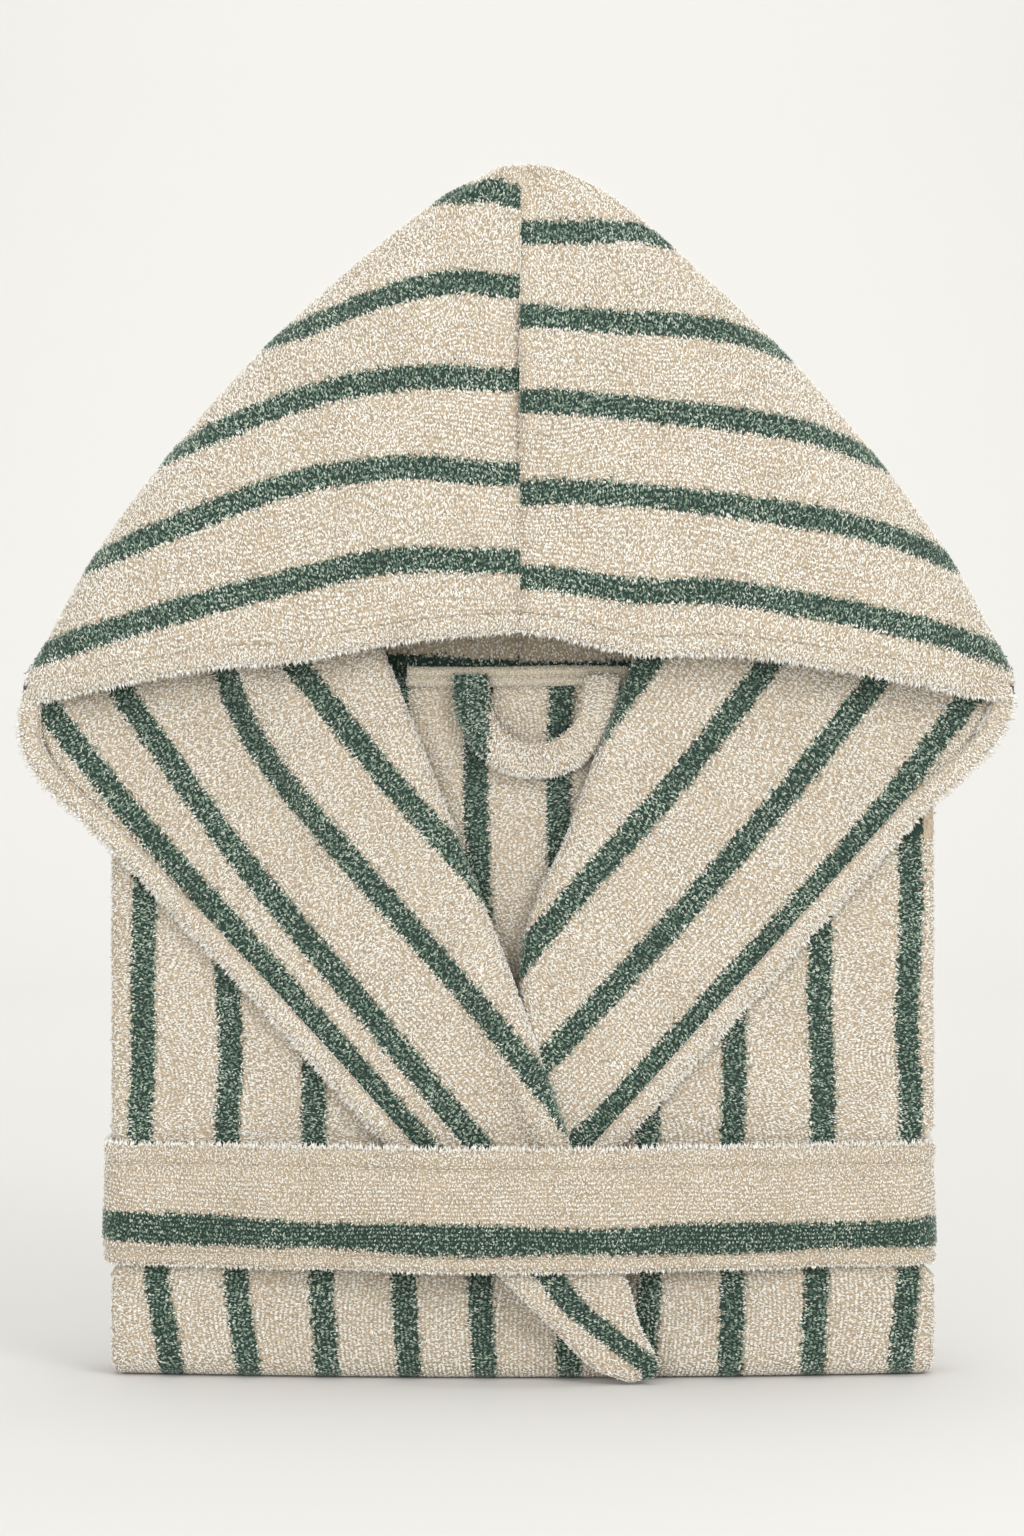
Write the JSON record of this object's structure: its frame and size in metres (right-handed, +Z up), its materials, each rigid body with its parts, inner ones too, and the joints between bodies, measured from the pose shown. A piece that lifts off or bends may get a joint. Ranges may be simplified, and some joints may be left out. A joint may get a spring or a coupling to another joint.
{
  "type": "folded hooded bathrobe",
  "caption": "Child's hooded terry bathrobe with contrast stripes, folded upright and held by its belt, hood up, lapels turned out, hanger loop at the neck.",
  "frame": {"origin": "middle of the base, under the centre of the bounding box", "axes": "+Z up towards the hood's tip; the front, with the belt's tail and the open neck, faces -Y; +X is the right-hand side as seen from the front"},
  "size_m": [0.4, 0.094, 0.488],
  "materials": {
    "striped_terry": "looped cotton terry, warm cream with dark blue-green stripes",
    "hem_terry": "rolled and stitched terry hem, cream",
    "belt_terry": "doubled terry belt, cream with one blue-green stripe",
    "strap_terry": "narrow flat terry strap and tape with stitched edges"
  },
  "bodies": {
    "folded_robe": {"front_panel_left": "striped_terry", "front_panel_right": "striped_terry", "back_panel": "striped_terry", "bottom_hem": "striped_terry", "sleeve_left": "striped_terry", "sleeve_right": "striped_terry", "cuff_left": "striped_terry", "cuff_right": "striped_terry", "pocket_left": "striped_terry", "pocket_right": "striped_terry", "neck_tape": "strap_terry", "lapel_left": "striped_terry", "lapel_right": "striped_terry", "lapel_hem_left": "hem_terry", "lapel_hem_right": "hem_terry", "belt_carrier_left": "strap_terry", "belt_carrier_right": "strap_terry"},
    "hood": {"hood_panel_left": "striped_terry", "hood_panel_right": "striped_terry", "hood_hem_left": "hem_terry", "hood_hem_right": "hem_terry", "hood_facing_left": "striped_terry", "hood_facing_right": "striped_terry", "hood_seam_tape": "strap_terry"},
    "belt": {"belt_band": "belt_terry", "belt_tail_tuck": "belt_terry"},
    "tail": {"belt_tail": "belt_terry"},
    "loop": {"hanger_loop": "strap_terry"}
  },
  "joints": [
    {"name": "hood_tilt", "type": "hinge", "parent": "folded_robe", "child": "hood", "pos_m": [0, -0.00755, 0.2845], "axis": [-1, 0, 0], "range_deg": [0, 75]},
    {"name": "belt_slide", "type": "slide", "parent": "folded_robe", "child": "belt", "axis": [0, 0, 1], "range_m": [0, 0.025]},
    {"name": "belt_tail_swing", "type": "hinge", "parent": "belt", "child": "tail", "pos_m": [0.022, -0.03608, 0.0425], "axis": [-1, 0, 0], "range_deg": [0, 80]},
    {"name": "hanger_loop_swing", "type": "hinge", "parent": "folded_robe", "child": "loop", "pos_m": [0.007, -0.02105, 0.28], "axis": [-1, 0, 0], "range_deg": [0, 85]}
  ]
}
